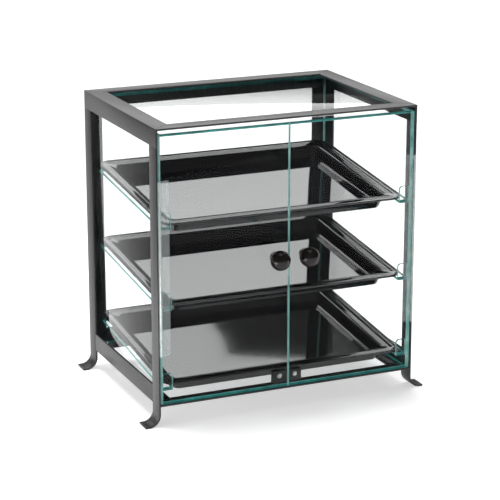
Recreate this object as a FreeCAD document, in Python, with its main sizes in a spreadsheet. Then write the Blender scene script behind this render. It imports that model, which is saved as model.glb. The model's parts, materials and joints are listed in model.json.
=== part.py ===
"""Countertop bakery display case.

A welded frame of steel flats and angles holds a clear acrylic box. Two clear doors hang on
clear piano hinges at the front. Three trays lie on sloping ledges inside, behind small stops.
Millimetres, +Z up, front towards -Y. The origin is on the counter, under the middle of the
closed case with its knobs.
"""
import FreeCAD, Part
import os
import Sketcher

doc = FreeCAD.newDocument("display_case")

# ---------------------------------------------------------------------------------------------
# driving dimensions, one spreadsheet cell each
# ---------------------------------------------------------------------------------------------
SIZES = [
    ("frame_width", 486.0),      # steel frame, outside
    ("frame_depth", 356.0),
    ("frame_height", 521.0),
    ("bar_width", 31.75),        # flats and angle legs
    ("bar_thick", 3.2),
    ("root_radius", 1.5),        # inside corner of the rolled angles
    ("foot_lift", 36.0),         # underside of the lower rails above the counter
    ("foot_reach", 25.0),        # foot beyond the outer face of its post
    ("foot_bend", 22.0),         # outer radius of the bend above the foot
    ("panel_thick", 4.8),        # every clear panel and door
    ("leaf_clear", 0.4),         # between a hinge leaf on the clear box and the steel post
    ("roof_gap", 6.5),           # between the clear box and the upper rails
    ("door_gap", 1.4),           # between the two doors
    ("door_clear", 0.4),         # behind a closed door
    ("door_end_clear", 0.8),     # above and below a door
    ("door_edge_clear", 0.6),    # between a door's outer edge and its fixed hinge leaf
    ("hinge_length", 305.0),
    ("hinge_raise", 5.5),        # middle of the hinge above the middle of the door
    ("knuckle_radius", 3.3),
    ("knuckle_count", 13),       # odd, so that both ends belong to the fixed leaf
    ("knuckle_end_gap", 0.4),
    ("knuckle_clear", 0.3),      # between the barrel and what turns past it
    ("leaf_thick", 1.2),
    ("door_leaf_width", 17.5),
    ("side_leaf_width", 27.0),
    ("pin_radius", 1.2),
    ("pin_clear", 0.05),
    ("knob_diameter", 35.0),
    ("knob_standoff", 23.5),     # middle of the ball in front of the door
    ("knob_base_radius", 10.0),  # on the door
    ("knob_shoulder", 0.5),      # from the taper's wide end, in the ball, to the ball's surface
    ("knob_inset", 27.5),        # from the middle of the case
    ("knob_raise", 2.8),         # above the middle of the door
    ("screw_radius", 2.0),
    ("screw_length", 13.0),      # inside the knob
    ("screw_head_radius", 4.2),
    ("screw_head_height", 2.4),
    ("screw_clear", 0.3),        # in the door's hole
    ("screw_end_clear", 1.0),    # in the knob, beyond the screw's end
    ("tray_side_clear", 4.9),    # between a tray and the side panels
    ("tray_rear_clear", 7.36),   # between a tray and the back panel
    ("tray_floor_clear", 3.63),  # between the lowest tray and the bottom panel
    ("upper_room", 114.58),      # above the rear edge of the upper tray
    ("tray_depth", 24.0),        # from the flange's underside to the floor's underside
    ("tray_wall", 2.0),
    ("tray_flange", 25.0),       # from the outer edge to the wall
    ("tray_corner", 24.0),
    ("tray_slope", 16.0),        # draft of the walls, degrees
    ("bead_width", 6.0),         # raised outer edge of the flange
    ("bead_height", 1.6),
    ("tray_tilt", 6.4),          # trays and ledges drop to the front, degrees
    ("tray_seat", 0.2),          # between a ledge and the tray that lies on it
    ("tray_front_clear", 1.1),   # between a stop and the tray behind it
    ("ledge_width", 18.0),
    ("ledge_thick", 4.8),
    ("ledge_rear_clear", 38.4),  # between a ledge and the back panel
    ("stop_height", 30.0),
    ("stop_corner", 6.0),
    ("catch_width", 25.0),
    ("catch_top_clear", 0.75),   # between a catch and the lowest tray's flange
    ("catch_depth", 10.0),
    ("catch_gap", 2.0),          # from the middle of the case
    ("magnet_radius", 4.5),
    ("magnet_depth", 5.0),
    ("magnet_rise", 14.5),       # above the bottom panel
    ("strike_radius", 3.6),
    ("strike_thick", 0.8),
    ("strike_clear", 0.3),       # between a strike and its magnet
]

sheet = doc.addObject("Spreadsheet::Sheet", "Sizes")
for row, (alias, number) in enumerate(SIZES, 1):
    sheet.set(f"A{row}", alias)
    sheet.set(f"B{row}", str(number))
    sheet.setAlias(f"B{row}", alias)
doc.recompute()

# ---------------------------------------------------------------------------------------------
# planes that the pieces share, as expressions of the cells
# ---------------------------------------------------------------------------------------------
KNOB_REACH = "(Sizes.knob_standoff + Sizes.knob_diameter / 2)"
SIDE = "(Sizes.frame_width / 2)"                              # outer face of the frame
MIDDLE = f"({KNOB_REACH} / 2)"                                # half way along the frame's depth
FRONT = f"({MIDDLE} - Sizes.frame_depth / 2)"
REAR = f"({MIDDLE} + Sizes.frame_depth / 2)"
TOP = "Sizes.frame_height"
POST_TOP = "(Sizes.frame_height - Sizes.bar_width)"           # posts end under the upper rails
FLOOR = "(Sizes.foot_lift + Sizes.bar_thick)"                 # the clear box stands here
ROOF = "(Sizes.frame_height - Sizes.bar_thick - Sizes.roof_gap)"
PANEL_GAP = "(Sizes.leaf_thick + Sizes.leaf_clear)"           # from the clear box to the steel
BOX_SIDE = f"({SIDE} - Sizes.bar_thick - {PANEL_GAP})"        # outer face of a side panel
BOX_INNER = f"({BOX_SIDE} - Sizes.panel_thick)"
BOX_FRONT = f"({FRONT} + Sizes.panel_thick + Sizes.door_clear)"
BOX_REAR = f"({REAR} - Sizes.bar_thick - {PANEL_GAP})"
BOX_BACK = f"({BOX_REAR} - Sizes.panel_thick)"                # inner face of the back panel
BOX_BOTTOM = f"({FLOOR} + Sizes.panel_thick)"                 # upper face of the bottom panel
DOOR_MIDDLE = f"(({FLOOR} + {ROOF}) / 2)"
HINGE_X = f"({BOX_SIDE} + Sizes.leaf_thick / 2)"
HINGE_Y = f"({FRONT} - Sizes.knuckle_radius - Sizes.knuckle_clear)"
HINGE_Z = f"({DOOR_MIDDLE} + Sizes.hinge_raise - Sizes.hinge_length / 2)"
KNUCKLE_PITCH = "(Sizes.hinge_length / Sizes.knuckle_count)"
TILT = "(Sizes.tray_tilt * 1 deg)"
LEDGE_FRONT = f"({BOX_FRONT} + Sizes.panel_thick)"            # stops stand in front of the ledges
LEDGE_UPRIGHT = f"(Sizes.ledge_thick / cos({TILT}))"          # a ledge's height, measured upright
LEDGE_RUN = f"({BOX_BACK} - Sizes.ledge_rear_clear - {LEDGE_FRONT})"
TRAY_FRONT = f"({LEDGE_FRONT} + Sizes.tray_front_clear)"
TRAY_SIDE = f"({BOX_INNER} - Sizes.tray_side_clear)"
TRAY_LENGTH = f"(({BOX_BACK} - Sizes.tray_rear_clear - {TRAY_FRONT}) / cos({TILT}))"
TRAY_TOE = "(Sizes.tray_flange - Sizes.tray_wall + Sizes.tray_depth * tan(Sizes.tray_slope * 1 deg))"
LOWEST_TRAY = (f"({BOX_BOTTOM} + Sizes.tray_floor_clear + Sizes.tray_depth * cos({TILT})"
               f" - {TRAY_TOE} * sin({TILT}))")               # its flange's underside, at the front
SEAT_RISE = f"({LEDGE_UPRIGHT} + Sizes.tray_seat + Sizes.tray_front_clear * tan({TILT}))"
LOWEST_LEDGE = f"({LOWEST_TRAY} - {SEAT_RISE})"               # its underside, at the front
TRAY_RISE = f"({TRAY_LENGTH} * sin({TILT}) + (Sizes.tray_wall + Sizes.bead_height) * cos({TILT}))"
TIER_PITCH = (f"(({ROOF} - Sizes.panel_thick - Sizes.upper_room - {TRAY_RISE} - {LOWEST_TRAY})"
              " / 2)")
CATCH_TOP = f"({LOWEST_TRAY} - Sizes.catch_top_clear)"

OVERCUT = "1"                                                 # how far a cutter starts outside
LEFT, RIGHT = -1, 1
HANDS = [("left", LEFT), ("right", RIGHT)]
TIERS = ["lower", "middle", "upper"]


def value(expression):
    """The number that an expression gives now, in millimetres or degrees."""
    result = sheet.evalExpression(expression)
    return float(getattr(result, "Value", result))


def flip(hand, expression):
    """The expression on the right of the case, and its mirror image on the left."""
    return expression if hand == RIGHT else f"(-1 * {expression})"


def across(hand, inner, outer):
    """An X span from inner to outer, on one side of the case."""
    return (inner, outer) if hand == RIGHT else (f"(-1 * {outer})", f"(-1 * {inner})")


# ---------------------------------------------------------------------------------------------
# ways of making a piece
# ---------------------------------------------------------------------------------------------
finished = []


def keep(piece, label):
    """Name a finished piece."""
    piece.Label = label
    finished.append(piece)
    return piece


def place(piece, x="0", y="0", z="0"):
    """Put a piece where three expressions say."""
    for axis, expression in zip("xyz", (x, y, z)):
        piece.setExpression(f"Placement.Base.{axis}", expression)


def slab(name, x, y, z):
    """A block between three pairs of planes."""
    block = doc.addObject("Part::Box", name)
    for size, (low, high) in zip(("Length", "Width", "Height"), (x, y, z)):
        block.setExpression(size, f"{high} - {low}")
    place(block, x[0], y[0], z[0])
    return block


def rod(name, radius, length, x, y, z, turn=None):
    """A round bar from a point, along +Z or turned about X."""
    bar = doc.addObject("Part::Cylinder", name)
    bar.setExpression("Radius", radius)
    bar.setExpression("Height", length)
    if turn is not None:
        bar.Placement.Rotation = FreeCAD.Rotation(FreeCAD.Vector(1, 0, 0), turn)
    place(bar, x, y, z)
    return bar


def boolean(kind, name, *shapes):
    """Part::Cut of two shapes, or Part::MultiFuse of several."""
    result = doc.addObject(kind, name)
    if kind == "Part::Cut":
        result.Base, result.Tool = shapes
    else:
        result.Shapes = list(shapes)
    return result


def new_body(name):
    return doc.addObject("PartDesign::Body", name)


def new_sketch(body, name, role, lift=None):
    """A sketch on one of the body's origin planes, or lifted off it along the plane's normal."""
    sketch = body.newObject("Sketcher::SketchObject", name)
    plane = next(item for item in body.Origin.OriginFeatures if item.Role == role)
    sketch.AttachmentSupport = [(plane, "")]
    sketch.MapMode = "FlatFace"
    if lift is not None:
        sketch.setExpression("AttachmentOffset.Base.z", lift)
    return sketch


def outline(sketch, corners):
    """Close a loop of straight edges through corners given as pairs of expressions."""
    first = sketch.GeometryCount
    points = [FreeCAD.Vector(value(u), value(v), 0) for u, v in corners]
    count = len(points)
    for index in range(count):
        line = Part.LineSegment(points[index], points[(index + 1) % count])
        sketch.addGeometry(line, False)
    for index in range(count):
        follower = first + (index + 1) % count
        sketch.addConstraint(Sketcher.Constraint("Coincident", first + index, 2, follower, 1))
    for index, (point, pair) in enumerate(zip(points, corners)):
        for kind, number, expression in zip(("DistanceX", "DistanceY"), point, pair):
            rule = Sketcher.Constraint(kind, -1, 1, first + index, 1, number)
            sketch.setExpression(f"Constraints[{sketch.addConstraint(rule)}]", expression)
    return sketch


def circle(sketch, radius, u="0", v="0"):
    """A circle about a point given as expressions."""
    centre = FreeCAD.Vector(value(u), value(v), 0)
    ring = sketch.addGeometry(Part.Circle(centre, FreeCAD.Vector(0, 0, 1), value(radius)), False)
    rules = [(Sketcher.Constraint("Radius", ring, value(radius)), radius),
             (Sketcher.Constraint("DistanceX", -1, 1, ring, 3, centre.x), u),
             (Sketcher.Constraint("DistanceY", -1, 1, ring, 3, centre.y), v)]
    for rule, expression in rules:
        sketch.setExpression(f"Constraints[{sketch.addConstraint(rule)}]", expression)
    return sketch


def pad(body, name, sketch, length, symmetric=False, reverse=False, draft=None):
    """Add the sketch's area, extruded."""
    feature = body.newObject("PartDesign::Pad", name)
    feature.Profile = sketch
    feature.setExpression("Length", length)
    feature.SideType = "Symmetric" if symmetric else "One side"
    feature.Reversed = reverse
    if draft is not None:
        feature.setExpression("TaperAngle", draft)
    doc.recompute()
    return feature


def pocket(body, name, sketch, length, symmetric=False, reverse=False, draft=None):
    """Cut the sketch's area, extruded, and make sure that it cuts something."""
    before = body.Shape.Volume
    feature = body.newObject("PartDesign::Pocket", name)
    feature.Profile = sketch
    feature.setExpression("Length", length)
    feature.SideType = "Symmetric" if symmetric else "One side"
    feature.Reversed = reverse
    if draft is not None:
        feature.setExpression("TaperAngle", draft)
    doc.recompute()
    if not feature.Shape.Volume < before - 1e-6:
        raise RuntimeError(f"{name} cuts nothing")
    return feature


def fillet(body, name, radius, *spots):
    """Round the straight edges that pass through given points of the body's own space."""
    base = body.Tip
    names = []
    for index, edge in enumerate(base.Shape.Edges, 1):
        if any(edge.distToShape(Part.Vertex(spot))[0] < 1e-4 and edge.Length > 1e-3 and
               all((vertex.Point - spot).Length > 1e-3 for vertex in edge.Vertexes)
               for spot in spots):
            names.append(f"Edge{index}")
    if len(names) != len(spots):
        raise RuntimeError(f"{name} found {len(names)} edges for {len(spots)} places")
    feature = body.newObject("PartDesign::Fillet", name)
    feature.Base = (base, names)
    feature.setExpression("Radius", radius)
    doc.recompute()
    return feature


# ---------------------------------------------------------------------------------------------
# steel frame
# ---------------------------------------------------------------------------------------------
def bent_strip(body, name, hand):
    """A flat bar on edge, standing on a foot that bends outwards. Its depth is centred on Y=0."""
    inner = f"({SIDE} - Sizes.bar_thick)"
    tip = f"({SIDE} + Sizes.foot_reach)"
    corners = [(inner, POST_TOP), (inner, "0"), (tip, "0"), (tip, "Sizes.bar_thick"),
               (SIDE, "Sizes.bar_thick"), (SIDE, POST_TOP)]
    sketch = new_sketch(body, f"{name}_profile", "XZ_Plane")
    outline(sketch, [(flip(hand, u), v) for u, v in corners])
    pad(body, f"{name}_strip", sketch, "Sizes.bar_width", symmetric=True)
    heel = FreeCAD.Vector(value(flip(hand, inner)), 0, 0)
    hollow = FreeCAD.Vector(value(flip(hand, SIDE)), 0, value("Sizes.bar_thick"))
    fillet(body, f"{name}_heel", "Sizes.foot_bend", heel)
    fillet(body, f"{name}_hollow", "Sizes.foot_bend - Sizes.bar_thick", hollow)


def front_post(hand, label):
    """A flat bar whose wide face looks sideways, bent out into a foot."""
    body = new_body(label)
    bent_strip(body, label, hand)
    place(body, y=f"{FRONT} + Sizes.bar_width / 2")
    keep(body, label)


def rear_post(hand, label):
    """An angle whose side leg runs on down and bends out into a foot."""
    body = new_body(label)
    bent_strip(body, label, hand)
    near = f"({SIDE} - Sizes.bar_thick)"
    far = f"({SIDE} - Sizes.bar_width)"
    back = "(Sizes.bar_width / 2)"
    face = "(Sizes.bar_width / 2 - Sizes.bar_thick)"
    sketch = new_sketch(body, f"{label}_rear_leg", "XY_Plane", lift="Sizes.foot_lift")
    outline(sketch, [(flip(hand, u), v) for u, v in
                     [(near, face), (near, back), (far, back), (far, face)]])
    pad(body, f"{label}_rear_pad", sketch, f"{POST_TOP} - Sizes.foot_lift")
    root = FreeCAD.Vector(value(flip(hand, near)), value(face), value(DOOR_MIDDLE))
    fillet(body, f"{label}_root", f"min(Sizes.root_radius; {PANEL_GAP})", root)
    place(body, y=f"{REAR} - Sizes.bar_width / 2")
    keep(body, label)


def angle(body, name, role, corner, legs, length):
    """An angle along the normal of a plane, centred on it. Its heel is at corner, and legs says
    which way the two legs run from there."""
    (u, v), (along_u, along_v) = corner, legs
    wide, thick = "Sizes.bar_width", "Sizes.bar_thick"
    wide_u, thick_u = f"({u} + {along_u} * {wide})", f"({u} + {along_u} * {thick})"
    wide_v, thick_v = f"({v} + {along_v} * {wide})", f"({v} + {along_v} * {thick})"
    sketch = new_sketch(body, f"{name}_profile", role)
    outline(sketch, [(u, v), (wide_u, v), (wide_u, thick_v),
                     (thick_u, thick_v), (thick_u, wide_v), (u, wide_v)])
    pad(body, f"{name}_angle", sketch, length, symmetric=True)
    root = [value(thick_u), value(thick_v)]
    spot = FreeCAD.Vector(root[0], 0, root[1]) if role == "XZ_Plane" else \
        FreeCAD.Vector(0, root[0], root[1])
    fillet(body, f"{name}_root", f"min(Sizes.root_radius; {PANEL_GAP})", spot)


def mitre(body, name, corners, depth):
    """Cut one end of an upper rail at 45 degrees, down from its top face."""
    sketch = new_sketch(body, name, "XY_Plane", lift=TOP)
    outline(sketch, corners)
    pocket(body, f"{name}_cut", sketch, depth)


def upper_side_rail(hand, label):
    """An angle along the top edge. Its flange is mitred at both ends, its leg at the rear only."""
    body = new_body(label)
    angle(body, label, "XZ_Plane", (flip(hand, SIDE), TOP), (-hand, -1), "Sizes.frame_depth")
    heel = flip(hand, SIDE)
    toe = flip(hand, f"({SIDE} - Sizes.bar_width)")
    for end, sign, depth in (("front", -1, "Sizes.bar_thick"), ("rear", 1, "Sizes.bar_width")):
        tip = f"({sign} * Sizes.frame_depth / 2)"
        back = f"({sign} * (Sizes.frame_depth / 2 - Sizes.bar_width))"
        mitre(body, f"{label}_{end}_mitre", [(heel, tip), (toe, back), (toe, tip)], depth)
    place(body, y=MIDDLE)
    keep(body, label)


def upper_rear_rail(label):
    """An angle between the two side rails, mitred into them."""
    body = new_body(label)
    heel = "(Sizes.frame_depth / 2)"
    toe = "(Sizes.frame_depth / 2 - Sizes.bar_width)"
    angle(body, label, "YZ_Plane", (heel, TOP), (-1, -1), "Sizes.frame_width")
    for end, hand in HANDS:
        tip = flip(hand, SIDE)
        back = flip(hand, f"({SIDE} - Sizes.bar_width)")
        mitre(body, f"{label}_{end}_mitre", [(tip, heel), (tip, toe), (back, toe)],
              "Sizes.bar_width")
    place(body, y=MIDDLE)
    keep(body, label)


def upper_front_rail(label):
    """A flat bar lying down, mitred into the side rails."""
    body = new_body(label)
    edge = "(-1 * Sizes.frame_depth / 2)"
    back = "(Sizes.bar_width - Sizes.frame_depth / 2)"
    short = f"({SIDE} - Sizes.bar_width)"
    sketch = new_sketch(body, f"{label}_profile", "XY_Plane", lift=TOP)
    outline(sketch, [(flip(LEFT, SIDE), edge), (SIDE, edge),
                     (short, back), (flip(LEFT, short), back)])
    pad(body, f"{label}_bar", sketch, "Sizes.bar_thick", reverse=True)
    place(body, y=MIDDLE)
    keep(body, label)


def lower_rails():
    """Angles at the sides and the rear, and a flat bar at the front, all between the posts."""
    for word, hand in HANDS:
        label = f"lower_{word}_rail"
        body = new_body(label)
        corner = (flip(hand, SIDE), "Sizes.foot_lift")
        angle(body, label, "XZ_Plane", corner, (-hand, 1),
              "Sizes.frame_depth - 2 * Sizes.bar_width")
        place(body, y=MIDDLE)
        keep(body, label)
    body = new_body("lower_rear_rail")
    angle(body, "lower_rear_rail", "YZ_Plane", ("(Sizes.frame_depth / 2)", "Sizes.foot_lift"),
          (-1, 1), "Sizes.frame_width - 2 * Sizes.bar_width")
    place(body, y=MIDDLE)
    keep(body, "lower_rear_rail")
    inner = f"({SIDE} - Sizes.bar_thick)"
    keep(slab("front_sill", (flip(LEFT, inner), inner), (FRONT, f"({FRONT} + Sizes.bar_width)"),
              ("Sizes.foot_lift", FLOOR)), "lower_front_rail")


# ---------------------------------------------------------------------------------------------
# clear box
# ---------------------------------------------------------------------------------------------
def clear_box():
    """Side, back, bottom and top panels, glued edge to edge."""
    thick = "Sizes.panel_thick"
    width = (flip(LEFT, BOX_INNER), BOX_INNER)
    for word, hand in HANDS:
        panel = slab(f"{word}_sheet", across(hand, BOX_INNER, BOX_SIDE), (BOX_FRONT, BOX_REAR),
                     (FLOOR, ROOF))
        keep(panel, f"{word}_panel")
    keep(slab("back_sheet", width, (BOX_BACK, BOX_REAR), (FLOOR, ROOF)), "back_panel")
    keep(slab("bottom_sheet", width, (BOX_FRONT, BOX_BACK), (FLOOR, BOX_BOTTOM)),
         "bottom_panel")
    keep(slab("top_sheet", width, (BOX_FRONT, BOX_BACK), (f"({ROOF} - {thick})", ROOF)),
         "top_panel")


def ledge_underside(tier):
    """Height of a ledge's underside at its front end."""
    return f"({LOWEST_LEDGE} + {TIERS.index(tier)} * {TIER_PITCH})"


def ledge(tier, word, hand):
    """A clear strip on the side panel, dropping towards the doors."""
    label = f"{tier}_{word}_ledge"
    body = new_body(label)
    low = ledge_underside(tier)
    rear = f"({LEDGE_FRONT} + {LEDGE_RUN})"
    high = f"({low} + {LEDGE_RUN} * tan({TILT}))"
    sketch = new_sketch(body, f"{label}_profile", "YZ_Plane")
    outline(sketch, [(LEDGE_FRONT, low), (rear, high), (rear, f"({high} + {LEDGE_UPRIGHT})"),
                     (LEDGE_FRONT, f"({low} + {LEDGE_UPRIGHT})")])
    pad(body, f"{label}_strip", sketch, "Sizes.ledge_width", symmetric=True)
    place(body, x=flip(hand, f"({BOX_INNER} - Sizes.ledge_width / 2)"))
    keep(body, label)


def stop(tier, word, hand):
    """An upright clear tab on the front end of a ledge, one top corner rounded."""
    label = f"{tier}_{word}_stop"
    body = new_body(label)
    low = ledge_underside(tier)
    high = f"({low} + Sizes.stop_height)"
    inner = flip(hand, f"({BOX_INNER} - Sizes.ledge_width)")
    outer = flip(hand, BOX_INNER)
    sketch = new_sketch(body, f"{label}_profile", "XZ_Plane")
    outline(sketch, [(inner, low), (outer, low), (outer, high), (inner, high)])
    pad(body, f"{label}_tab", sketch, "Sizes.panel_thick", symmetric=True)
    fillet(body, f"{label}_corner", "Sizes.stop_corner",
           FreeCAD.Vector(value(inner), 0, value(high)))
    place(body, y=f"{BOX_FRONT} + Sizes.panel_thick / 2")
    keep(body, label)


# ---------------------------------------------------------------------------------------------
# doors, with their hinges, knobs and catches
# ---------------------------------------------------------------------------------------------
def hinge_leaf(label, hand, plate, first, count):
    """A leaf with every other knuckle of the barrel. plate is its section, as four corners
    about the pin's axis. The knuckles of the other leaf leave count gaps, from number first."""
    body = new_body(label)
    flat = new_sketch(body, f"{label}_plate_profile", "XY_Plane")
    outline(flat, [(flip(hand, u), v) for u, v in plate])
    pad(body, f"{label}_plate", flat, "Sizes.hinge_length")
    barrel = new_sketch(body, f"{label}_barrel_profile", "XY_Plane")
    circle(barrel, "Sizes.knuckle_radius")
    pad(body, f"{label}_barrel", barrel, "Sizes.hinge_length")
    reach = "(Sizes.knuckle_radius + Sizes.knuckle_clear)"
    minus = f"(-1 * {reach})"
    gap = new_sketch(body, f"{label}_gap_profile", "XY_Plane",
                     lift=f"{first} * {KNUCKLE_PITCH} - Sizes.knuckle_end_gap / 2")
    outline(gap, [(minus, minus), (reach, minus), (reach, reach), (minus, reach)])
    cut = pocket(body, f"{label}_gap", gap, f"{KNUCKLE_PITCH} + Sizes.knuckle_end_gap",
                 reverse=True)
    gaps = body.newObject("PartDesign::LinearPattern", f"{label}_gaps")
    gaps.Originals = [cut]
    gaps.Direction = (gap, ["N_Axis"])
    gaps.setExpression("Length", f"{count - 1} * 2 * {KNUCKLE_PITCH}")
    gaps.Occurrences = count
    body.Tip = gaps
    doc.recompute()
    bore = new_sketch(body, f"{label}_bore_profile", "XY_Plane")
    circle(bore, "Sizes.pin_radius + Sizes.pin_clear")
    pocket(body, f"{label}_bore", bore, "Sizes.hinge_length", reverse=True)
    place(body, flip(hand, HINGE_X), HINGE_Y, HINGE_Z)
    keep(body, label)


def hinge(word, hand):
    """A clear piano hinge: one leaf glued to the side panel, one to the door, and its pin."""
    gaps = int(value("Sizes.knuckle_count")) // 2
    half = "(Sizes.leaf_thick / 2)"
    side_plate = [(f"(-1 * {half})", "0"), (half, "0"), (half, "Sizes.side_leaf_width"),
                  (f"(-1 * {half})", "Sizes.side_leaf_width")]
    hinge_leaf(f"{word}_side_leaf", hand, side_plate, 1, gaps)
    rear = "(Sizes.knuckle_radius + Sizes.knuckle_clear)"
    front = f"({rear} - Sizes.leaf_thick)"
    tip = "(-1 * Sizes.door_leaf_width)"
    edge = f"(-1 * ({half} + Sizes.door_edge_clear))"
    door_plate = [(tip, front), (edge, front), (edge, rear), (tip, rear)]
    hinge_leaf(f"{word}_door_leaf", hand, door_plate, 0, gaps + 1)
    pin = rod(f"{word}_wire", "Sizes.pin_radius", "Sizes.hinge_length",
              flip(hand, HINGE_X), HINGE_Y, HINGE_Z)
    keep(pin, f"{word}_hinge_pin")


def door(word, hand):
    """A clear sheet with one hole for its knob's screw."""
    inner = "(Sizes.door_gap / 2)"
    outer = f"({BOX_SIDE} - Sizes.door_edge_clear)"
    sheet_block = slab(f"{word}_door_sheet", across(hand, inner, outer),
                       (FRONT, f"({FRONT} + Sizes.panel_thick)"),
                       (f"({FLOOR} + Sizes.door_end_clear)", f"({ROOF} - Sizes.door_end_clear)"))
    drill = rod(f"{word}_door_drill", "Sizes.screw_radius + Sizes.screw_clear",
                f"Sizes.panel_thick + 2 * {OVERCUT}", flip(hand, "Sizes.knob_inset"),
                f"{FRONT} + Sizes.panel_thick + {OVERCUT}", f"{DOOR_MIDDLE} + Sizes.knob_raise",
                turn=90)
    keep(boolean("Part::Cut", f"{word}_door_drilled", sheet_block, drill), f"{word}_door")


def knob(word, hand):
    """A turned ball that tapers to its base, drawn to the door by a screw from inside."""
    x, z = flip(hand, "Sizes.knob_inset"), f"{DOOR_MIDDLE} + Sizes.knob_raise"
    ball = doc.addObject("Part::Sphere", f"{word}_ball")
    ball.setExpression("Radius", "Sizes.knob_diameter / 2")
    place(ball, x, f"{FRONT} - Sizes.knob_standoff", z)
    taper = doc.addObject("Part::Cone", f"{word}_taper")
    taper.setExpression("Radius1", "Sizes.knob_base_radius")
    taper.setExpression("Radius2", "Sizes.knob_diameter / 2 - Sizes.knob_shoulder")
    taper.setExpression("Height", "Sizes.knob_standoff")
    taper.Placement.Rotation = FreeCAD.Rotation(FreeCAD.Vector(1, 0, 0), 90)
    place(taper, x, FRONT, z)
    solid = boolean("Part::MultiFuse", f"{word}_turning", ball, taper)
    tapping = rod(f"{word}_tapping", "Sizes.screw_radius",
                  f"Sizes.screw_length + Sizes.screw_end_clear + {OVERCUT}",
                  x, f"{FRONT} + {OVERCUT}", z, turn=90)
    keep(boolean("Part::Cut", f"{word}_knob_tapped", solid, tapping), f"{word}_knob")
    inside = f"({FRONT} + Sizes.panel_thick)"
    shank = rod(f"{word}_shank", "Sizes.screw_radius", "Sizes.panel_thick + Sizes.screw_length",
                x, inside, z, turn=90)
    head = rod(f"{word}_screw_head", "Sizes.screw_head_radius", "Sizes.screw_head_height",
               x, inside, z, turn=-90)
    keep(boolean("Part::MultiFuse", f"{word}_screw_blank", shank, head), f"{word}_knob_screw")


def catch(word, hand):
    """A magnet in a small housing on the bottom panel, and a steel strike on the door."""
    middle = flip(hand, "(Sizes.catch_gap + Sizes.catch_width / 2)")
    strike_back = f"({FRONT} + Sizes.panel_thick + Sizes.strike_thick)"
    face = f"({strike_back} + Sizes.strike_clear)"
    height = f"({BOX_BOTTOM} + Sizes.magnet_rise)"
    block = slab(f"{word}_catch_block",
                 (f"({middle} - Sizes.catch_width / 2)", f"({middle} + Sizes.catch_width / 2)"),
                 (face, f"({face} + Sizes.catch_depth)"), (BOX_BOTTOM, CATCH_TOP))
    seat = rod(f"{word}_magnet_seat", "Sizes.magnet_radius", f"Sizes.magnet_depth + {OVERCUT}",
               middle, f"{face} + Sizes.magnet_depth", height, turn=90)
    keep(boolean("Part::Cut", f"{word}_catch_seat", block, seat), f"{word}_catch")
    magnet = rod(f"{word}_magnet_disc", "Sizes.magnet_radius", "Sizes.magnet_depth",
                 middle, f"{face} + Sizes.magnet_depth", height, turn=90)
    keep(magnet, f"{word}_magnet")
    strike = rod(f"{word}_strike_disc", "Sizes.strike_radius", "Sizes.strike_thick",
                 middle, strike_back, height, turn=90)
    keep(strike, f"{word}_strike")


# ---------------------------------------------------------------------------------------------
# trays
# ---------------------------------------------------------------------------------------------
def rectangle(inset):
    """Corners of the tray's outline, drawn in by an inset. Its front edge is on Y=0."""
    side = f"({TRAY_SIDE} - {inset})"
    far = f"({TRAY_LENGTH} - {inset})"
    return [(f"(-1 * {side})", f"({inset})"), (side, f"({inset})"), (side, far),
            (f"(-1 * {side})", far)]


def upright_edges(inset, height):
    """A point on each upright corner edge of a rectangle."""
    return [FreeCAD.Vector(value(u), value(v), height) for u, v in rectangle(inset)]


def tray(tier):
    """A moulded tray: a flange with a raised outer bead, drafted walls and a flat floor."""
    label = f"{tier}_tray"
    body = new_body(label)
    thick, mouth = "Sizes.tray_wall", "Sizes.tray_flange"
    flange = new_sketch(body, f"{label}_flange_profile", "XY_Plane")
    outline(flange, rectangle("0"))
    pad(body, f"{label}_flange", flange, f"{thick} + Sizes.bead_height")
    fillet(body, f"{label}_corners", "Sizes.tray_corner",
           *upright_edges("0", value(thick) / 2))
    bead = new_sketch(body, f"{label}_bead_profile", "XY_Plane",
                      lift=f"{thick} + Sizes.bead_height")
    outline(bead, rectangle("Sizes.bead_width"))
    pocket(body, f"{label}_bead", bead, "Sizes.bead_height")
    tub = new_sketch(body, f"{label}_tub_profile", "XY_Plane")
    outline(tub, rectangle(f"({mouth} - {thick})"))
    pad(body, f"{label}_tub", tub, "Sizes.tray_depth", reverse=True,
        draft="-1 * Sizes.tray_slope")
    hollow = new_sketch(body, f"{label}_hollow_profile", "XY_Plane", lift=thick)
    outline(hollow, rectangle(mouth))
    pocket(body, f"{label}_hollow", hollow, "Sizes.tray_depth", draft="-1 * Sizes.tray_slope")
    body.Placement.Rotation = FreeCAD.Rotation(FreeCAD.Vector(1, 0, 0), value(TILT))
    place(body, "0", TRAY_FRONT, f"{ledge_underside(tier)} + {SEAT_RISE}")
    body.setExpression("Placement.Rotation.Angle", TILT)
    keep(body, label)


# ---------------------------------------------------------------------------------------------
# the whole case
# ---------------------------------------------------------------------------------------------
for word, hand in HANDS:
    front_post(hand, f"front_{word}_post")
    rear_post(hand, f"rear_{word}_post")
    upper_side_rail(hand, f"upper_{word}_rail")
upper_rear_rail("upper_rear_rail")
upper_front_rail("upper_front_rail")
lower_rails()
clear_box()
for tier in TIERS:
    for word, hand in HANDS:
        ledge(tier, word, hand)
        stop(tier, word, hand)
    tray(tier)
for word, hand in HANDS:
    hinge(word, hand)
    door(word, hand)
    knob(word, hand)
    catch(word, hand)
doc.recompute()

# ---------------------------------------------------------------------------------------------
# check and export
# ---------------------------------------------------------------------------------------------
for item in doc.Objects:
    if "Invalid" in item.State or "Error" in item.State:
        raise RuntimeError(f"{item.Label} failed to build: {item.State}")
if len({piece.Label for piece in finished}) != len(finished):
    raise RuntimeError("two pieces share a name")
os.makedirs("parts", exist_ok=True)
for piece in finished:
    if piece.Shape.isNull() or not piece.Shape.isValid() or not piece.Shape.Solids:
        raise RuntimeError(f"{piece.Label} has no sound solid")
    piece.Shape.exportStep(f"parts/{piece.Label}.step")
print(len(finished), "pieces written")
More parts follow.
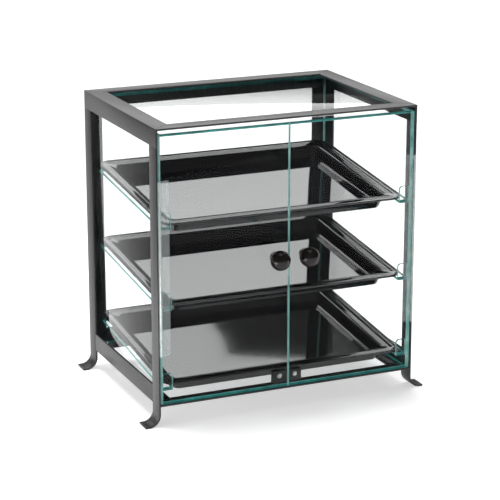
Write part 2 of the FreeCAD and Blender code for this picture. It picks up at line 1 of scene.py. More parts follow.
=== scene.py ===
"""Countertop bakery display case, dressed around its CAD frame. Metres, +Z up, front towards -Y."""
import bmesh
import bpy
import json
from math import asin, atan, cos, pi, radians, sin
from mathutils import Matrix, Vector

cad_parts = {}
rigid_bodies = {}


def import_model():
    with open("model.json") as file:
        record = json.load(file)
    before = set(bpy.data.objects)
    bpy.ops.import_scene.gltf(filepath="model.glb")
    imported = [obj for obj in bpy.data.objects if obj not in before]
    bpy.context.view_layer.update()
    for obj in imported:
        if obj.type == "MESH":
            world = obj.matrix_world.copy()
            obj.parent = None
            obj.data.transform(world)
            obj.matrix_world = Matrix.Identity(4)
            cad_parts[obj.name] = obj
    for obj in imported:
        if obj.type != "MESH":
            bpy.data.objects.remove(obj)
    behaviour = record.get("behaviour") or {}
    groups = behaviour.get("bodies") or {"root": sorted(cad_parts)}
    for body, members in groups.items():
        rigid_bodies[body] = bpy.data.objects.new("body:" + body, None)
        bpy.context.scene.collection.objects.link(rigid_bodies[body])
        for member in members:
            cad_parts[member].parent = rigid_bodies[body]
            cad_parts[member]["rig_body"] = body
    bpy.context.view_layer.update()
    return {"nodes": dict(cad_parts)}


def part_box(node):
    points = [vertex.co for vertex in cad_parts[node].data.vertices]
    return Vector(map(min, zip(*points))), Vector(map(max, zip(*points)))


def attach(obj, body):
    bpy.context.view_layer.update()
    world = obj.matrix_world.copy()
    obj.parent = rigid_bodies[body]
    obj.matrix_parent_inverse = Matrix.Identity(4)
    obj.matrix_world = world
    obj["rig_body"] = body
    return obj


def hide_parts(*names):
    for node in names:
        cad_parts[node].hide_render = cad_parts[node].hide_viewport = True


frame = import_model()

# ---------------------------------------------------------------------------------------------
# Studio. The case stands on a plain white table in a dim white tent. The black trays and the bar
# tops mirror a wide softbox behind it, a low one lights its left end, a small one its front, and a
# sun behind a scrim, almost overhead, throws the soft shadow.
# ---------------------------------------------------------------------------------------------
MM = 0.001
CAMERA_TURN, CAMERA_RISE = radians(-23.81), radians(16.16)
CAMERA_DISTANCE = 3.425
CAMERA_LENS = 137.4
CAMERA_AIM = Vector((-4.5 * MM, 0, 246.4 * MM))
ACROSS = CAMERA_TURN + pi                # the side of the case across from the camera
BACK_DISTANCE, BACK_HEIGHT = 1.25, Vector((0, 0, 1.495))
LOW_TURN, LOW_DISTANCE, LOW_HEIGHT = radians(-80), 0.62, Vector((0, 0, 0.08))
SCRIM_TURN, SCRIM_RISE, SCRIM_DISTANCE = radians(205), radians(76), 3
OVERHEAD, OVERHEAD_TARGET = Vector((0, -0.35, 1.9)), Vector((0, -0.2, 0.28))
TENT_SEEN = 1.0                          # how bright the tent is to the camera
TENT_NEAR, TENT_ACROSS = 0.16, 0.06      # and to the case, on the camera's side and across from it
TENT_RISE = radians(35)                  # of the tent's dimmest place
TENT_FADE = (-0.5, 0.7)                  # cosines from that place, where the dimming starts and ends
TABLE_WIDTH = 80
TABLE_DARK, TABLE_LIGHT = (0.66, 0.66, 0.66), (0.68, 0.68, 0.68)


def bearing(turn, rise):
    """The direction from the case to a point this far round from the front, and this high."""
    return Vector((sin(turn) * cos(rise), -cos(turn) * cos(rise), sin(rise)))


def aim(item, place, target):
    """Stand a camera or a light at a place, looking at a target."""
    item.location = place
    item.rotation_euler = (target - place).to_track_quat("-Z", "Y").to_euler()


bpy.ops.object.select_all(action="DESELECT")
bpy.ops.object.camera_add()
camera = bpy.context.object
camera.data.lens = CAMERA_LENS
aim(camera, CAMERA_AIM + CAMERA_DISTANCE * bearing(CAMERA_TURN, CAMERA_RISE), CAMERA_AIM)
bpy.context.scene.camera = camera
bpy.context.scene.view_settings.view_transform = "Standard"


def softbox(name, place, target, width, height, brightness):
    """A soft white rectangle of light, given by how bright its face is."""
    bpy.ops.object.light_add(type="AREA")
    light = bpy.context.object
    light.name = name
    light.data.shape = "RECTANGLE"
    light.data.size, light.data.size_y = width, height
    light.data.energy = brightness * pi * width * height
    light.visible_camera = False
    aim(light, place, target)


softbox("back_softbox", BACK_DISTANCE * bearing(ACROSS, 0) + BACK_HEIGHT, BACK_HEIGHT,
        width=3.0, height=1.4, brightness=2.6)
softbox("low_side_softbox", LOW_DISTANCE * bearing(LOW_TURN, 0) + LOW_HEIGHT, LOW_HEIGHT,
        width=0.8, height=0.14, brightness=6.5)
bpy.ops.object.light_add(type="SUN")
overhead_scrim = bpy.context.object
overhead_scrim.name = "overhead_scrim"
overhead_scrim.data.energy = 2.8
overhead_scrim.data.angle = radians(26)
overhead_scrim.visible_glossy = False
aim(overhead_scrim, SCRIM_DISTANCE * bearing(SCRIM_TURN, SCRIM_RISE), Vector((0, 0, 0)))
softbox("overhead_softbox", OVERHEAD, OVERHEAD_TARGET, width=0.8, height=0.6, brightness=1.6)

tent = bpy.data.worlds.new("white_tent")
tent.use_nodes = True
tree = tent.node_tree
direction = tree.nodes.new("ShaderNodeTexCoord")
towards_back = tree.nodes.new("ShaderNodeVectorMath")
towards_back.operation = "DOT_PRODUCT"
towards_back.inputs[1].default_value = bearing(ACROSS, TENT_RISE)
glow = tree.nodes.new("ShaderNodeMapRange")
glow.inputs["From Min"].default_value, glow.inputs["From Max"].default_value = TENT_FADE
glow.inputs["To Min"].default_value = TENT_NEAR
glow.inputs["To Max"].default_value = TENT_ACROSS
seen = tree.nodes.new("ShaderNodeLightPath")
brightness = tree.nodes.new("ShaderNodeMix")
brightness.inputs["B"].default_value = TENT_SEEN
for start, end in ((direction.outputs["Generated"], towards_back.inputs[0]),
                   (towards_back.outputs["Value"], glow.inputs["Value"]),
                   (seen.outputs["Is Camera Ray"], brightness.inputs["Factor"]),
                   (glow.outputs["Result"], brightness.inputs["A"]),
                   (brightness.outputs["Result"], tree.nodes["Background"].inputs["Strength"])):
    tree.links.new(start, end)
tree.nodes["Background"].inputs["Color"].default_value = (1, 1, 1, 1)
bpy.context.scene.world = tent


def finish(name, **settings):
    """A material with one Principled shader, and the tree and shader to work on."""
    material = bpy.data.materials.new(name)
    material.use_nodes = True
    shader = material.node_tree.nodes["Principled BSDF"]
    for socket, value in settings.items():
        shader.inputs[socket.replace("_", " ")].default_value = value
    return material, material.node_tree, shader


def grain(tree, scale, detail=2.0):
    """The grey value of a noise that lies still in the piece, at so many grains to the metre."""
    place = tree.nodes.new("ShaderNodeTexCoord")
    noise = tree.nodes.new("ShaderNodeTexNoise")
    noise.inputs["Scale"].default_value = scale
    noise.inputs["Detail"].default_value = detail
    tree.links.new(place.outputs["Object"], noise.inputs["Vector"])
    return noise.outputs["Fac"]


def shades(tree, value, *stops):
    """Turn a grey value into colours between stops of (position, colour)."""
    ramp = tree.nodes.new("ShaderNodeValToRGB")
    while len(ramp.color_ramp.elements) < len(stops):
        ramp.color_ramp.elements.new(0.5)
    for element, (position, colour) in zip(ramp.color_ramp.elements, stops):
        element.position = position
        element.color = (*colour, 1)
    tree.links.new(value, ramp.inputs["Fac"])
    return ramp.outputs["Color"]


table_white, tree, shader = finish("table_white", Roughness=0.8, Specular_IOR_Level=0.1,
                                   Emission_Color=(1, 1, 1, 1), Emission_Strength=0.56)
tree.links.new(shades(tree, grain(tree, 6), (0.3, TABLE_DARK), (0.7, TABLE_LIGHT)),
               shader.inputs["Base Color"])
bpy.ops.object.select_all(action="DESELECT")
bpy.ops.mesh.primitive_plane_add(size=TABLE_WIDTH)
table = bpy.context.object
table.name = "table_top"
table.data.materials.append(table_white)

# ---------------------------------------------------------------------------------------------
# Steel frame. Flat bar and rolled angle, cut, mitred at the top corners, welded and ground, then
# powder coated charcoal: a satin skin with a fine orange peel. The posts run down and are bent
# outwards cold into the feet.
# ---------------------------------------------------------------------------------------------
BAR_EDGE = 0.5 * MM                      # soft edge that the coat leaves on a bar
SAME_POINT = 0.001 * MM                  # points of a CAD mesh nearer than this are one
SAME_FACE = radians(0.5)                 # triangles that turn less than this are one face
COAT_DARK, COAT_LIGHT = (0.017, 0.017, 0.018), (0.043, 0.042, 0.043)
ORANGE_PEEL = 0.10 * MM


def between(tree, value, low, high):
    """Spread a grey value's middle band over a range of numbers."""
    spread = tree.nodes.new("ShaderNodeMapRange")
    spread.inputs["From Min"].default_value = 0.3
    spread.inputs["From Max"].default_value = 0.7
    spread.inputs["To Min"].default_value = low
    spread.inputs["To Max"].default_value = high
    tree.links.new(value, spread.inputs["Value"])
    return spread.outputs["Result"]


def relief(tree, shader, height, depth, strength):
    """Let a grey value stand out of the surface by a depth."""
    bump = tree.nodes.new("ShaderNodeBump")
    bump.inputs["Distance"].default_value = depth
    bump.inputs["Strength"].default_value = strength
    tree.links.new(height, bump.inputs["Height"])
    tree.links.new(bump.outputs["Normal"], shader.inputs["Normal"])


powder_coat, tree, shader = finish("charcoal_powder_coat", Specular_IOR_Level=0.33)
tree.links.new(shades(tree, grain(tree, 520, 3), (0.36, COAT_DARK), (0.64, COAT_LIGHT)),
               shader.inputs["Base Color"])
tree.links.new(between(tree, grain(tree, 700), 0.36, 0.48), shader.inputs["Roughness"])
relief(tree, shader, grain(tree, 1500, 1), ORANGE_PEEL, 0.3)


def working_copy(node, name):
    """A copy of a CAD node, its loose triangles joined into whole flat faces."""
    bpy.ops.object.select_all(action="DESELECT")
    piece = bpy.data.objects.new(name, frame["nodes"][node].data.copy())
    bpy.context.collection.objects.link(piece)
    bpy.context.view_layer.objects.active = piece
    piece.select_set(True)
    piece.data.materials.clear()
    bpy.ops.mesh.customdata_custom_splitnormals_clear()
    bpy.ops.object.mode_set(mode="EDIT")
    bpy.ops.mesh.select_all(action="SELECT")
    bpy.ops.mesh.remove_doubles(threshold=SAME_POINT)
    bpy.ops.mesh.dissolve_limited(angle_limit=SAME_FACE)
    bpy.ops.object.mode_set(mode="OBJECT")
    return piece


def soften(piece, width, segments=2, angle=30):
    """Round every edge sharper than an angle, and shade the rest smooth."""
    bevel = piece.modifiers.new("soft_edges", "BEVEL")
    bevel.width = width
    bevel.segments = segments
    bevel.limit_method = "ANGLE"
    bevel.angle_limit = radians(angle)
    bpy.ops.object.modifier_apply(modifier=bevel.name)
    bpy.ops.object.shade_smooth_by_angle(angle=radians(angle))


def fit(piece, node, slot, *materials):
    """Put a finished piece in its node's place, on the node's body."""
    for material in materials:
        piece.data.materials.append(material)
    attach(piece, frame["nodes"][node]["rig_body"])
    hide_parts(node)


POSTS = [f"{end}_{side}_post" for end in ("front", "rear") for side in ("left", "right")]
RAILS = [f"{level}_{side}_rail" for level in ("upper", "lower")
         for side in ("left", "right", "front", "rear")]
for node in POSTS + RAILS:
    bar = working_copy(node, f"steel_{node}")
    soften(bar, BAR_EDGE)
    fit(bar, node, "powder_coat", powder_coat)

# ---------------------------------------------------------------------------------------------
# Clear box. Cast acrylic sheet, sawn, its edges flame polished and solvent welded. The faces are
# all but invisible and the edges green. A painted glow on the edges stands in for light gathered
# in the sheet leaving through them; level edges carry painted shade and upright ones a painted
# highlight.
# ---------------------------------------------------------------------------------------------
SHEET_EDGE = 0.25 * MM
GLUE_LINE = 0.05 * MM                    # each sheet stops this far short of its neighbours
SHEET_TINT = (0.992, 0.998, 0.997, 1)    # what is left of light that crosses one face
SHEET_ROUGHNESS = 0.02
MIRRORED_AHEAD, MIRRORED_GLANCING = 0.006, 0.9
GLANCE_POWER = 5.0                       # how late the mirroring comes in as a face turns away
BROAD_FACE = 0.9                         # a normal's share across the sheet, on its two broad faces
LEVEL_RIM = 0.5                          # a normal's upright share, on a rim that lies level

clear_face, tree, shader = finish("clear_face")
tree.nodes.remove(shader)
through = tree.nodes.new("ShaderNodeBsdfTransparent")
through.inputs["Color"].default_value = SHEET_TINT
mirror = tree.nodes.new("ShaderNodeBsdfGlossy")
mirror.inputs["Roughness"].default_value = SHEET_ROUGHNESS
facing = tree.nodes.new("ShaderNodeLayerWeight")
facing.inputs["Blend"].default_value = 0.5
side_seen = tree.nodes.new("ShaderNodeNewGeometry")
glance = tree.nodes.new("ShaderNodeMath")
glance.operation = "POWER"
glance.inputs[1].default_value = GLANCE_POWER
share = tree.nodes.new("ShaderNodeMapRange")
share.inputs["To Min"].default_value = MIRRORED_AHEAD
share.inputs["To Max"].default_value = MIRRORED_GLANCING
outside = tree.nodes.new("ShaderNodeMath")
outside.operation = "SUBTRACT"
outside.inputs[0].default_value = 1.0
only_outside = tree.nodes.new("ShaderNodeMath")
only_outside.operation = "MULTIPLY"
sheet_mix = tree.nodes.new("ShaderNodeMixShader")
for start, end in ((facing.outputs["Facing"], glance.inputs[0]),
                   (glance.outputs["Value"], share.inputs["Value"]),
                   (side_seen.outputs["Backfacing"], outside.inputs[1]),
                   (share.outputs["Result"], only_outside.inputs[0]),
                   (outside.outputs["Value"], only_outside.inputs[1]),
                   (only_outside.outputs["Value"], sheet_mix.inputs["Fac"]),
                   (through.outputs["BSDF"], sheet_mix.inputs[1]),
                   (mirror.outputs["BSDF"], sheet_mix.inputs[2]),
                   (sheet_mix.outputs["Shader"], tree.nodes["Material Output"].inputs["Surface"])):
    tree.links.new(start, end)


def painted_glow_edge(name, dark, middle, light, alpha, painted_emission_strength):
    """A polished edge: green that comes and goes along it in soft patches, with a painted glow
    (emission) in its lightest green.
    """
    material, tree, shader = finish(name, Roughness=0.12, Alpha=alpha, Specular_IOR_Level=0.3,
                                    Emission_Color=(*light, 1), Emission_Strength=painted_emission_strength)
    tree.links.new(shades(tree, grain(tree, 38, 3), (0.36, dark), (0.52, middle), (0.68, light)),
                   shader.inputs["Base Color"])
    return material


# Two copies of the one green edge, both with a painted glow: level rims painted darker as painted
# shade, upright rims painted paler as a painted highlight.
level_painted_shade_glow_edge = painted_glow_edge("green_level_painted_shade_glow_edge", (0.012, 0.100, 0.098), (0.024, 0.180, 0.170),
                         (0.050, 0.300, 0.275), alpha=1.0, painted_emission_strength=0.20)
upright_painted_highlight_glow_edge = painted_glow_edge("pale_upright_painted_highlight_glow_edge", (0.040, 0.240, 0.225), (0.140, 0.370, 0.345),
                           (0.340, 0.560, 0.530), alpha=0.95, painted_emission_strength=0.22)


def block(name, low, high):
    """A block between two corners."""
    bpy.ops.object.select_all(action="DESELECT")
    bpy.ops.mesh.primitive_cube_add(size=1, location=(Vector(low) + Vector(high)) / 2,
                                    scale=Vector(high) - Vector(low))
    piece = bpy.context.object
    piece.name = name
    bpy.ops.object.transform_apply()
    return piece


def tint_edges(piece, thin):
    """Give the faces across a sheet's thin axis the clear finish, and its rim the green ones: the
    copy with painted shade where the rim lies level, the copy with a painted highlight where it
    stands upright.
    """
    for face in piece.data.polygons:
        broad = abs(face.normal[thin]) > BROAD_FACE
        level = thin == 2 or abs(face.normal.z) > LEVEL_RIM
        face.material_index = 0 if broad else 1 if level else 2


def bonded(node):
    """The corners of a node's box, drawn in by the glue line."""
    low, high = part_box(node)
    line = Vector((GLUE_LINE, GLUE_LINE, GLUE_LINE))
    return low + line, high - line


def clear_sheet(node, name):
    """A rectangular sheet that fills its node's box, with polished edges."""
    piece = block(name, *bonded(node))
    soften(piece, SHEET_EDGE)
    return piece


CLEAR = (clear_face, level_painted_shade_glow_edge, upright_painted_highlight_glow_edge)
for side, thin in (("left", 0), ("right", 0), ("back", 1), ("bottom", 2), ("top", 2)):
    sheet = clear_sheet(f"{side}_panel", f"clear_{side}_sheet")
    fit(sheet, f"{side}_panel", "clear_acrylic", *CLEAR)
    tint_edges(sheet, thin)

# ---------------------------------------------------------------------------------------------
# Ledges and stops. Strips of the same acrylic solvent welded to the side sheets, dropping to the
# front, with an upright tab across each low end that keeps the tray from sliding out.
# ---------------------------------------------------------------------------------------------
TILT = radians(6.4)
LEDGE_THICK = 4.8 * MM
STOP_CORNER = 6 * MM
STOP_CORNER_STEPS = 8
TIERS = ("lower", "middle", "upper")


def pick(piece, kind, test):
    """In edit mode, select the faces or edges whose middle passes a test."""
    bpy.ops.mesh.select_mode(type=kind)
    bpy.ops.mesh.select_all(action="DESELECT")
    mesh = bmesh.from_edit_mesh(piece.data)
    for item in mesh.faces if kind == "FACE" else mesh.edges:
        middle = sum((corner.co for corner in item.verts), Vector()) / len(item.verts)
        item.select_set(test(middle))
    mesh.select_flush_mode()
    bmesh.update_edit_mesh(piece.data)


def clear_ledge(node, name):
    """A level strip whose rear end is lifted to the slope of the tray."""
    low, high = bonded(node)
    level = Vector((high.x, high.y, low.z + LEDGE_THICK / cos(TILT)))
    piece = block(name, low, level)
    bpy.ops.object.mode_set(mode="EDIT")
    pick(piece, "FACE", lambda middle: middle.y > high.y - MM)
    bpy.ops.transform.translate(value=(0, 0, high.z - level.z))
    bpy.ops.object.mode_set(mode="OBJECT")
    soften(piece, SHEET_EDGE)
    return piece


def clear_stop(node, name, inner):
    """An upright tab with its inner top corner rounded."""
    low, high = bonded(node)
    piece = block(name, low, high)
    bpy.ops.object.mode_set(mode="EDIT")
    pick(piece, "EDGE", lambda middle: abs(middle.x - inner) < MM and middle.z > high.z - MM)
    bpy.ops.mesh.bevel(offset=STOP_CORNER, segments=STOP_CORNER_STEPS)
    bpy.ops.object.mode_set(mode="OBJECT")
    soften(piece, SHEET_EDGE, angle=40)
    return piece


for tier in TIERS:
    for side in ("left", "right"):
        ledge = clear_ledge(f"{tier}_{side}_ledge", f"clear_{tier}_{side}_ledge")
        fit(ledge, f"{tier}_{side}_ledge", "clear_acrylic", *CLEAR)
        tint_edges(ledge, 2)
        low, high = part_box(f"{tier}_{side}_stop")
        tab = clear_stop(f"{tier}_{side}_stop", f"clear_{tier}_{side}_stop",
                         high.x if side == "left" else low.x)
        fit(tab, f"{tier}_{side}_stop", "clear_acrylic", *CLEAR)
        tint_edges(tab, 1)

# ---------------------------------------------------------------------------------------------
# Trays. Moulded in one shot in glossy black plastic: a double beaded flange, drafted walls with
# rounded corners, and a flat floor polished like a mirror. They lie loose on the ledges.
# ---------------------------------------------------------------------------------------------
BEAD_TOP = 3.6                           # in mm, above the flange's underside
TRAY_CORNER_STEPS = 8
# inset from the outer edge, height above the flange's underside and corner radius of each ring, in
# mm, from under the floor, out round the flange and back to the floor's top
TRAY_RINGS = [
    (32.0, -24.0, 12.0), (30.0, -23.4, 13.0), (29.2, -21.4, 13.2),
    (23.3, -1.0, 13.8), (22.4, 0.0, 14.0), (1.0, 0.0, 23.0), (0.2, 0.3, 23.8),
    (0.0, 0.9, 24.0), (0.0, 2.7, 24.0), (0.25, 3.25, 23.8), (0.8, 3.55, 23.3),
    (1.5, BEAD_TOP, 22.6), (2.3, 3.45, 21.9), (3.2, 2.9, 21.1), (4.4, 2.2, 20.1),
    (5.8, 1.9, 18.9), (8.0, 2.0, 17.1), (12.4, 2.8, 13.9), (13.6, 3.1, 13.4),
    (14.5, 3.15, 13.1), (15.4, 3.0, 12.9), (17.0, 2.5, 12.6), (21.0, 1.6, 12.3),
    (23.4, 1.0, 12.2), (24.7, 0.3, 12.1), (25.4, -0.9, 12.0),
    (30.2, -16.4, 12.0), (30.8, -18.6, 12.0), (32.1, -20.7, 12.0), (34.1, -21.8, 12.0),
    (36.6, -22.0, 12.0),
]
TRAY_SHARP = radians(50)                 # its edges that turn more than this stay sharp
TRAY_DARK, TRAY_LIGHT = (0.0045, 0.0045, 0.0055), (0.0075, 0.0075, 0.0085)
MOULD_WAVE = 0.5 * MM                    # the long soft waves of a moulded skin

tray_black, tree, shader = finish("glossy_black_tray", Specular_IOR_Level=0.6)
tree.links.new(shades(tree, grain(tree, 14), (0.35, TRAY_DARK), (0.65, TRAY_LIGHT)),
               shader.inputs["Base Color"])
tree.links.new(between(tree, grain(tree, 300, 4), 0.015, 0.04), shader.inputs["Roughness"])
relief(tree, shader, grain(tree, 9, 1), MOULD_WAVE, 0.03)


def add_ring(piece, width, length, middle, corner, height, number):
    """In edit mode, add a rounded rectangle of edges and mark its points with a number."""
    bpy.ops.mesh.primitive_plane_add(size=1, location=(0, middle, height))
    bpy.ops.transform.resize(value=(width, length, 1), center_override=(0, middle, height))
    bpy.ops.mesh.bevel(offset=corner, segments=TRAY_CORNER_STEPS, affect="VERTICES")
    bpy.ops.mesh.delete(type="ONLY_FACE")
    mesh = bmesh.from_edit_mesh(piece.data)
    marks = mesh.verts.layers.int.get("ring") or mesh.verts.layers.int.new("ring")
    for point in mesh.verts:
        if point[marks] == 0:
            point[marks] = number
    bmesh.update_edit_mesh(piece.data)


def pick_rings(piece, *numbers):
    """In edit mode, select the edges that lie in the rings with these numbers."""
    bpy.ops.mesh.select_mode(type="EDGE")
    bpy.ops.mesh.select_all(action="DESELECT")
    mesh = bmesh.from_edit_mesh(piece.data)
    marks = mesh.verts.layers.int["ring"]
    for edge in mesh.edges:
        ends = {point[marks] for point in edge.verts}
        edge.select_set(len(ends) == 1 and ends <= set(numbers))
    mesh.select_flush_mode()
    bmesh.update_edit_mesh(piece.data)


def moulded_tray(name, low, high):
    """A tray drawn level, ring by ring from its underside to its floor, then tilted to its ledges."""
    width = high.x - low.x
    length = (high.y - low.y - BEAD_TOP * MM * sin(TILT)) / cos(TILT)
    bpy.ops.object.select_all(action="DESELECT")
    bpy.ops.mesh.primitive_plane_add(size=MM)
    piece = bpy.context.object
    piece.name = name
    bpy.ops.object.mode_set(mode="EDIT")
    bpy.ops.mesh.delete(type="VERT")
    for number, (inset, height, corner) in enumerate(TRAY_RINGS, 1):
        add_ring(piece, width - 2 * inset * MM, length - 2 * inset * MM, length / 2,
                 corner * MM, height * MM, number)
    for number in range(1, len(TRAY_RINGS)):
        pick_rings(piece, number, number + 1)
        bpy.ops.mesh.bridge_edge_loops()
    for number in (1, len(TRAY_RINGS)):
        pick_rings(piece, number)
        bpy.ops.mesh.edge_face_add()
    bpy.ops.mesh.select_all(action="SELECT")
    bpy.ops.mesh.normals_make_consistent(inside=False)
    bpy.ops.object.mode_set(mode="OBJECT")
    bpy.ops.object.shade_smooth_by_angle(angle=TRAY_SHARP)
    piece.rotation_euler.x = TILT
    piece.location = (0, low.y + BEAD_TOP * MM * sin(TILT),
                      high.z - length * sin(TILT) - BEAD_TOP * MM * cos(TILT))
    bpy.ops.object.transform_apply()
    return piece


for tier in TIERS:
    tray = moulded_tray(f"black_{tier}_tray", *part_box(f"{tier}_tray"))
    fit(tray, f"{tier}_tray", "tray_plastic", tray_black)

# ---------------------------------------------------------------------------------------------
# Knobs and their screws. Each knob is a ball turned in one with the taper that it stands on, from
# black phenolic, polished. A plated pan head screw draws it to the door from inside.
# ---------------------------------------------------------------------------------------------
BALL_RADIUS = 17.5 * MM
BALL_STANDOFF = 23.5 * MM
BASE_RADIUS = 10 * MM                    # on the door
BASE_EDGE = 0.6 * MM
TAPER_SHOULDER = 0.5 * MM                # from the taper's wide end to the ball's surface
SCREW_RADIUS = 2 * MM
SCREW_DEPTH = 13 * MM                    # in the knob
SCREW_POINT = 0.5 * MM                   # chamfer of its end
TAP_CLEAR, TAP_BEYOND = 0.1 * MM, MM     # of the knob's hole, round the screw and past its end
SCREW_HEAD_RADIUS = 4.2 * MM
SCREW_HEAD_HEIGHT = 2.4 * MM
PAN_CURVE = ((2.2, 1.0), (3.4, 0.88), (4.0, 0.6), (4.2, 0.3))    # radius in mm, share of the height
RECESS_LENGTH, RECESS_WIDTH = 4.6 * MM, 0.9 * MM
RECESS_FLOOR = 1.0 * MM                  # above the door
FORWARD = (0, -1, 0)
BALL_STEPS, KNOB_SIDES, SCREW_SIDES = 20, 64, 32
TURNED_SEAM = 0.005 * MM                 # points of a turned piece nearer than this are one
TURNED_SHARP = radians(35)               # and its edges that turn more than this stay sharp
KNOB_DARK, KNOB_LIGHT = (0.006, 0.005, 0.005), (0.014, 0.010, 0.010)
STEEL_DARK, STEEL_LIGHT = (0.30, 0.31, 0.30), (0.42, 0.43, 0.42)

knob_black, tree, shader = finish("polished_black_knob", Specular_IOR_Level=0.3)
tree.links.new(shades(tree, grain(tree, 60), (0.35, KNOB_DARK), (0.65, KNOB_LIGHT)),
               shader.inputs["Base Color"])
tree.links.new(between(tree, grain(tree, 250, 3), 0.06, 0.12), shader.inputs["Roughness"])

bright_steel, tree, shader = finish("plated_steel", Metallic=1.0)
tree.links.new(shades(tree, grain(tree, 500), (0.35, STEEL_DARK), (0.65, STEEL_LIGHT)),
               shader.inputs["Base Color"])
tree.links.new(between(tree, grain(tree, 900, 3), 0.18, 0.34), shader.inputs["Roughness"])


def turned(name, centre, axis, profile, sides):
    """Draw half a profile of (radius, distance along the axis), point by point, and spin it."""
    axis = Vector(axis)
    points = [centre + Vector((radius, 0, 0)) + axis * along for radius, along in profile]
    bpy.ops.object.select_all(action="DESELECT")
    bpy.ops.mesh.primitive_plane_add(size=MM, location=points[0])
    piece = bpy.context.object
    piece.name = name
    bpy.ops.object.transform_apply()
    bpy.ops.object.mode_set(mode="EDIT")
    bpy.ops.mesh.select_mode(type="VERT")
    bpy.ops.mesh.merge(type="CENTER")
    for here, there in zip(points, points[1:]):
        bpy.ops.mesh.extrude_vertices_move(TRANSFORM_OT_translate={"value": there - here})
    bpy.ops.mesh.select_all(action="SELECT")
    bpy.ops.mesh.spin(steps=sides, angle=2 * pi, center=centre, axis=axis)
    bpy.ops.mesh.select_all(action="SELECT")
    bpy.ops.mesh.remove_doubles(threshold=TURNED_SEAM)
    bpy.ops.mesh.normals_make_consistent(inside=False)
    bpy.ops.object.mode_set(mode="OBJECT")
    bpy.ops.object.shade_smooth_by_angle(angle=TURNED_SHARP)
    return piece


def middle_of(node):
    """The middle of a node's box."""
    low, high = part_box(node)
    return (low + high) / 2


def cut_away(piece, tool):
    """Take a tool's shape out of a piece, and throw the tool away."""
    bpy.ops.object.select_all(action="DESELECT")
    bpy.context.view_layer.objects.active = piece
    piece.select_set(True)
    cut = piece.modifiers.new("cut", "BOOLEAN")
    cut.operation = "DIFFERENCE"
    cut.solver = "EXACT"
    cut.object = tool
    bpy.ops.object.modifier_apply(modifier=cut.name)
    bpy.data.objects.remove(tool)


# Turned from the door side: the tapped hole, the taper and then the ball, from the angle where
# the taper's line enters it.
taper_slope = (BALL_RADIUS - TAPER_SHOULDER - BASE_RADIUS) / BALL_STANDOFF
taper_turn = atan(taper_slope)
join_angle = asin((BALL_RADIUS - TAPER_SHOULDER) * cos(taper_turn) / BALL_RADIUS) - taper_turn
ball = [join_angle + (pi - join_angle) * step / BALL_STEPS for step in range(BALL_STEPS + 1)]
hole_radius, hole_depth = SCREW_RADIUS + TAP_CLEAR, SCREW_DEPTH + TAP_BEYOND
knob_profile = [(0, hole_depth), (hole_radius, hole_depth), (hole_radius, 0),
                (BASE_RADIUS - BASE_EDGE, 0), (BASE_RADIUS, BASE_EDGE)]
knob_profile += [(BALL_RADIUS * sin(turn), BALL_STANDOFF - BALL_RADIUS * cos(turn)) for turn in ball]

for side in ("left", "right"):
    low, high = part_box(f"{side}_door")
    middle = middle_of(f"{side}_knob")
    outer_face = Vector((middle.x, low.y, middle.z))
    inner_face = Vector((middle.x, high.y, middle.z))
    knob = turned(f"black_{side}_ball_knob", outer_face, FORWARD, knob_profile, KNOB_SIDES)
    fit(knob, f"{side}_knob", "knob_black", knob_black)

    tip = high.y - low.y + SCREW_DEPTH
    screw_profile = [(0, -SCREW_HEAD_HEIGHT)]
    screw_profile += [(radius * MM, -share * SCREW_HEAD_HEIGHT) for radius, share in PAN_CURVE]
    screw_profile += [(SCREW_HEAD_RADIUS, 0), (SCREW_RADIUS, 0), (SCREW_RADIUS, tip - SCREW_POINT),
                      (SCREW_RADIUS - SCREW_POINT, tip), (0, tip)]
    screw = turned(f"steel_{side}_knob_screw", inner_face, FORWARD, screw_profile, SCREW_SIDES)
    for across, upright in ((RECESS_LENGTH, RECESS_WIDTH), (RECESS_WIDTH, RECESS_LENGTH)):
        reach = Vector((across / 2, 0, upright / 2))
        recess = block("recess", inner_face - reach + Vector((0, RECESS_FLOOR, 0)),
                       inner_face + reach + Vector((0, 2 * SCREW_HEAD_HEIGHT, 0)))
        cut_away(screw, recess)
    bpy.ops.object.shade_smooth_by_angle(angle=TURNED_SHARP)
    fit(screw, f"{side}_knob_screw", "bright_steel", bright_steel)

# ---------------------------------------------------------------------------------------------
# Doors. Two sheets of the same acrylic that meet in the middle, drilled once each for the knob's
# screw. They close over the front edges of the box.
# ---------------------------------------------------------------------------------------------
SCREW_HOLE_RADIUS = 2.3 * MM
DRILL_REACH = 6 * MM                     # more than the sheet is thick

for side in ("left", "right"):
    low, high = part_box(f"{side}_door")
    middle = middle_of(f"{side}_knob")
    door = block(f"clear_{side}_door", low, high)
    drill = turned("drill", Vector((middle.x, high.y, middle.z)), FORWARD,
                   [(0, -MM), (SCREW_HOLE_RADIUS, -MM), (SCREW_HOLE_RADIUS, DRILL_REACH),
                    (0, DRILL_REACH)], SCREW_SIDES)
    cut_away(door, drill)
    soften(door, SHEET_EDGE)
    fit(door, f"{side}_door", "clear_acrylic", *CLEAR)
    tint_edges(door, 1)

# ---------------------------------------------------------------------------------------------
# Piano hinges. Two clear moulded leaves whose knuckles take turns along a plated wire. The long
# leaf is bonded to the outside of the box, the short one to the face of the door.
# ---------------------------------------------------------------------------------------------
LEAF_EDGE = 0.15 * MM
PIN_END = 0.3 * MM                       # chamfer of its ends
WIRE_SIDES = 20
HINGE_DARK, HINGE_LIGHT = (0.62, 0.76, 0.75), (0.90, 0.96, 0.95)

clear_plastic, tree, shader = finish("clear_moulded_hinge", Alpha=0.16, Specular_IOR_Level=0.6)
tree.links.new(shades(tree, grain(tree, 70, 3), (0.35, HINGE_DARK), (0.65, HINGE_LIGHT)),
               shader.inputs["Base Color"])
tree.links.new(between(tree, grain(tree, 200), 0.10, 0.22), shader.inputs["Roughness"])

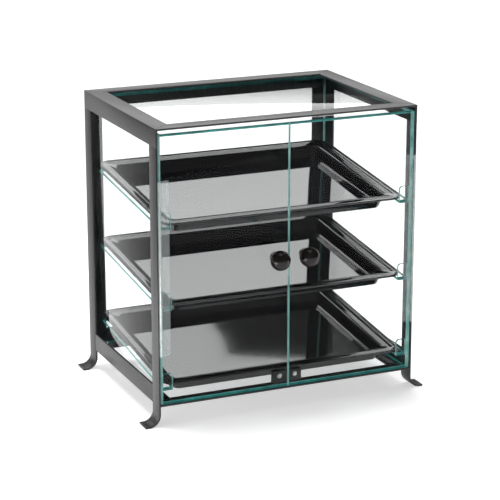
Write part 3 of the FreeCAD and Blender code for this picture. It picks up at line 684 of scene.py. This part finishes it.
for side in ("left", "right"):
    for leaf in ("side_leaf", "door_leaf"):
        plate = working_copy(f"{side}_{leaf}", f"clear_{side}_{leaf}")
        soften(plate, LEAF_EDGE, segments=1)
        fit(plate, f"{side}_{leaf}", "clear_hinge", clear_plastic)
    low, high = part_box(f"{side}_hinge_pin")
    radius, length = (high.x - low.x) / 2, high.z - low.z
    foot = Vector(((low.x + high.x) / 2, (low.y + high.y) / 2, low.z))
    wire = turned(f"steel_{side}_hinge_wire", foot, (0, 0, 1),
                  [(0, 0), (radius - PIN_END, 0), (radius, PIN_END), (radius, length - PIN_END),
                   (radius - PIN_END, length), (0, length)], WIRE_SIDES)
    fit(wire, f"{side}_hinge_pin", "bright_steel", bright_steel)

# ---------------------------------------------------------------------------------------------
# Catches. Small matt black blocks bonded to the bottom sheet, each with a plated magnet set into
# its face, and a thin steel disc on the door that the magnet holds.
# ---------------------------------------------------------------------------------------------
CATCH_EDGE = 0.8 * MM
DISC_EDGE = 0.25 * MM
DISC_SIDES = 40
SEAT_CLEAR = 0.1 * MM                    # round the magnet
CATCH_DARK, CATCH_LIGHT = (0.010, 0.010, 0.011), (0.022, 0.022, 0.023)
MATT_GRAIN = 0.05 * MM

catch_black, tree, shader = finish("matt_black_catch", Specular_IOR_Level=0.4)
tree.links.new(shades(tree, grain(tree, 260, 3), (0.35, CATCH_DARK), (0.65, CATCH_LIGHT)),
               shader.inputs["Base Color"])
tree.links.new(between(tree, grain(tree, 120), 0.42, 0.58), shader.inputs["Roughness"])
relief(tree, shader, grain(tree, 2400, 1), MATT_GRAIN, 0.4)


def rear_of(low, high):
    """The middle of the rear face of the box between two corners."""
    return Vector(((low.x + high.x) / 2, high.y, (low.z + high.z) / 2))


def disc(name, node):
    """A round plate with its rims broken, turned to fill a node's box."""
    low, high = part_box(node)
    radius, thick = (high.x - low.x) / 2, high.y - low.y
    return turned(name, rear_of(low, high), FORWARD,
                  [(0, 0), (radius - DISC_EDGE, 0), (radius, DISC_EDGE),
                   (radius, thick - DISC_EDGE), (radius - DISC_EDGE, thick), (0, thick)], DISC_SIDES)


for side in ("left", "right"):
    body = block(f"black_{side}_catch", *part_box(f"{side}_catch"))
    soften(body, CATCH_EDGE, segments=3)
    low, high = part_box(f"{side}_magnet")
    seat_radius, seat_reach = (high.x - low.x) / 2 + SEAT_CLEAR, high.y - low.y + MM
    seat = turned("seat", rear_of(low, high), FORWARD,
                  [(0, 0), (seat_radius, 0), (seat_radius, seat_reach), (0, seat_reach)], DISC_SIDES)
    cut_away(body, seat)
    bpy.ops.object.shade_smooth_by_angle(angle=radians(30))
    fit(body, f"{side}_catch", "catch_black", catch_black)
    for plate in ("magnet", "strike"):
        fit(disc(f"steel_{side}_{plate}", f"{side}_{plate}"), f"{side}_{plate}", "bright_steel",
            bright_steel)
